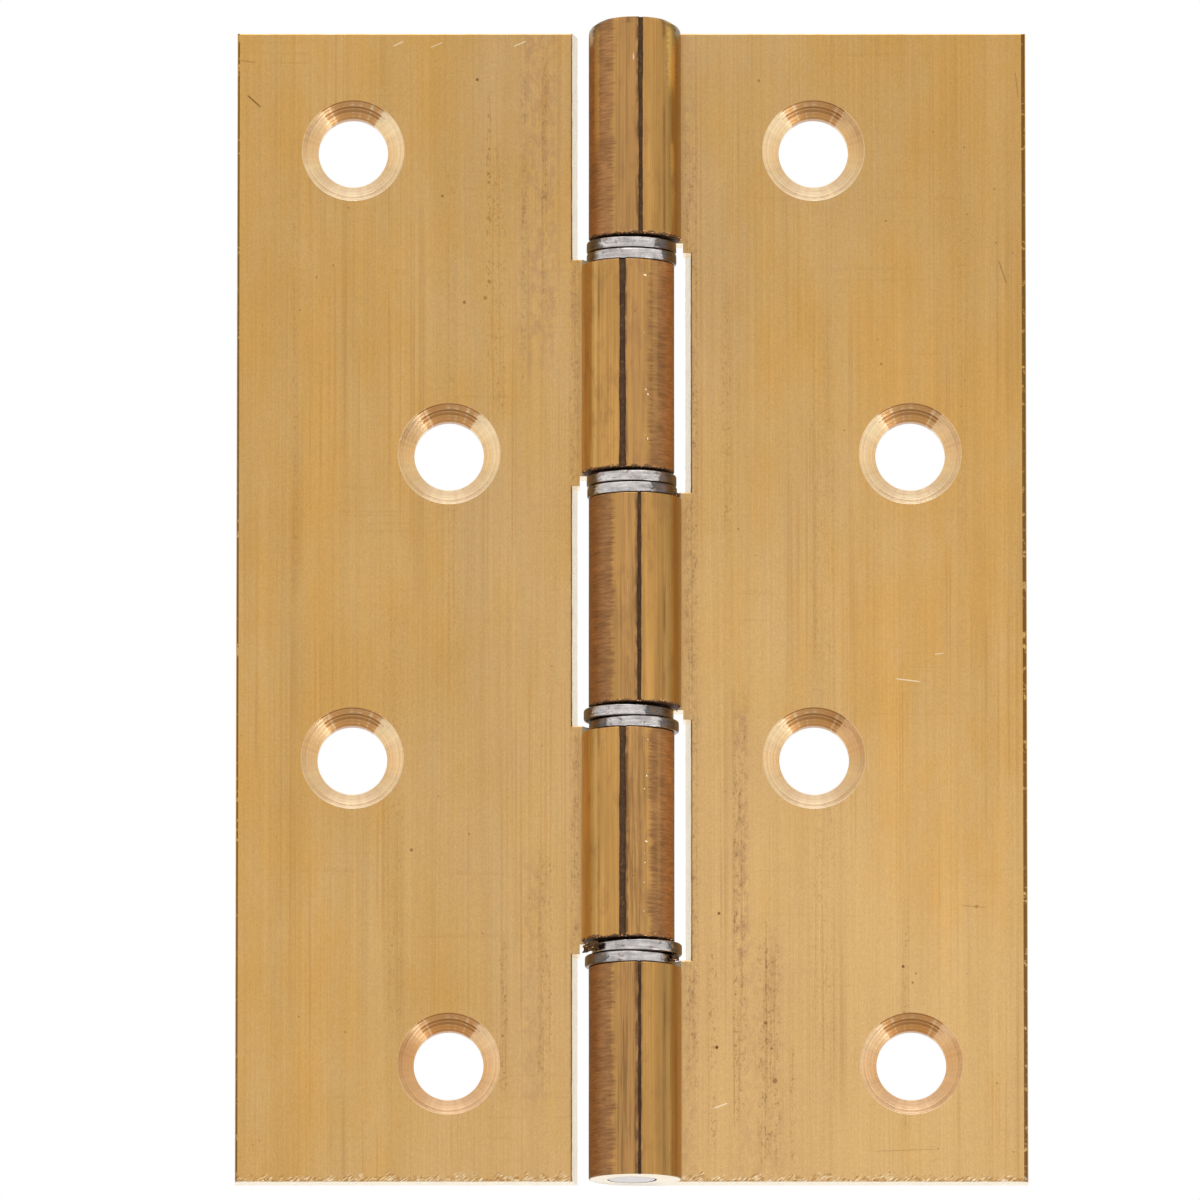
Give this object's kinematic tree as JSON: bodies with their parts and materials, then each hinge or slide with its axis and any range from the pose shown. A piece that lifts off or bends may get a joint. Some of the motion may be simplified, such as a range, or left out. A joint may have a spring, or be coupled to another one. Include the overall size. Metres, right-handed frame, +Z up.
{
  "type": "butt hinge",
  "caption": "Butt hinge with rolled knuckles on a steel pin, paired steel washers between the knuckles and countersunk screw holes in both leaves.",
  "frame": {"origin": "on the pin's axis, halfway along the barrel", "axes": "+Z up along the pin, as hung on a door; the open leaves lie along X with the frame leaf towards +X; the countersunk faces look along -Y and the leaf backs along +Y"},
  "size_m": [0.068, 0.008, 0.1006],
  "materials": {
    "frame_leaf_brass": "drawn brass, unlacquered, fine lengthwise drawing lines with light tarnish",
    "door_leaf_brass": "drawn brass, unlacquered, fine lengthwise drawing lines with light tarnish",
    "pin_steel": "plain bright steel, cut ends",
    "washer_steel": "stamped steel, lightly oiled, dark in the gaps"
  },
  "bodies": {
    "frame_side": {"frame_leaf": "frame_leaf_brass", "hinge_pin": "pin_steel"},
    "door_side": {"door_leaf": "door_leaf_brass"},
    "washer_1_upper": {"washer_1_upper": "washer_steel"},
    "washer_1_lower": {"washer_1_lower": "washer_steel"},
    "washer_2_upper": {"washer_2_upper": "washer_steel"},
    "washer_2_lower": {"washer_2_lower": "washer_steel"},
    "washer_3_upper": {"washer_3_upper": "washer_steel"},
    "washer_3_lower": {"washer_3_lower": "washer_steel"},
    "washer_4_upper": {"washer_4_upper": "washer_steel"},
    "washer_4_lower": {"washer_4_lower": "washer_steel"}
  },
  "joints": [
    {"name": "leaf_fold", "type": "hinge", "parent": "frame_side", "child": "door_side", "pos_m": [0, 0, 0], "axis": [0, 0, 1], "range_deg": [-90, 180]},
    {"name": "washer_1_upper_spin", "type": "hinge", "parent": "frame_side", "child": "washer_1_upper", "pos_m": [0, 0, 0], "axis": [0, 0, 1], "continuous": true},
    {"name": "washer_1_lower_spin", "type": "hinge", "parent": "frame_side", "child": "washer_1_lower", "pos_m": [0, 0, 0], "axis": [0, 0, 1], "continuous": true},
    {"name": "washer_2_upper_spin", "type": "hinge", "parent": "frame_side", "child": "washer_2_upper", "pos_m": [0, 0, 0], "axis": [0, 0, 1], "continuous": true},
    {"name": "washer_2_lower_spin", "type": "hinge", "parent": "frame_side", "child": "washer_2_lower", "pos_m": [0, 0, 0], "axis": [0, 0, 1], "continuous": true},
    {"name": "washer_3_upper_spin", "type": "hinge", "parent": "frame_side", "child": "washer_3_upper", "pos_m": [0, 0, 0], "axis": [0, 0, 1], "continuous": true},
    {"name": "washer_3_lower_spin", "type": "hinge", "parent": "frame_side", "child": "washer_3_lower", "pos_m": [0, 0, 0], "axis": [0, 0, 1], "continuous": true},
    {"name": "washer_4_upper_spin", "type": "hinge", "parent": "frame_side", "child": "washer_4_upper", "pos_m": [0, 0, 0], "axis": [0, 0, 1], "continuous": true},
    {"name": "washer_4_lower_spin", "type": "hinge", "parent": "frame_side", "child": "washer_4_lower", "pos_m": [0, 0, 0], "axis": [0, 0, 1], "continuous": true}
  ]
}
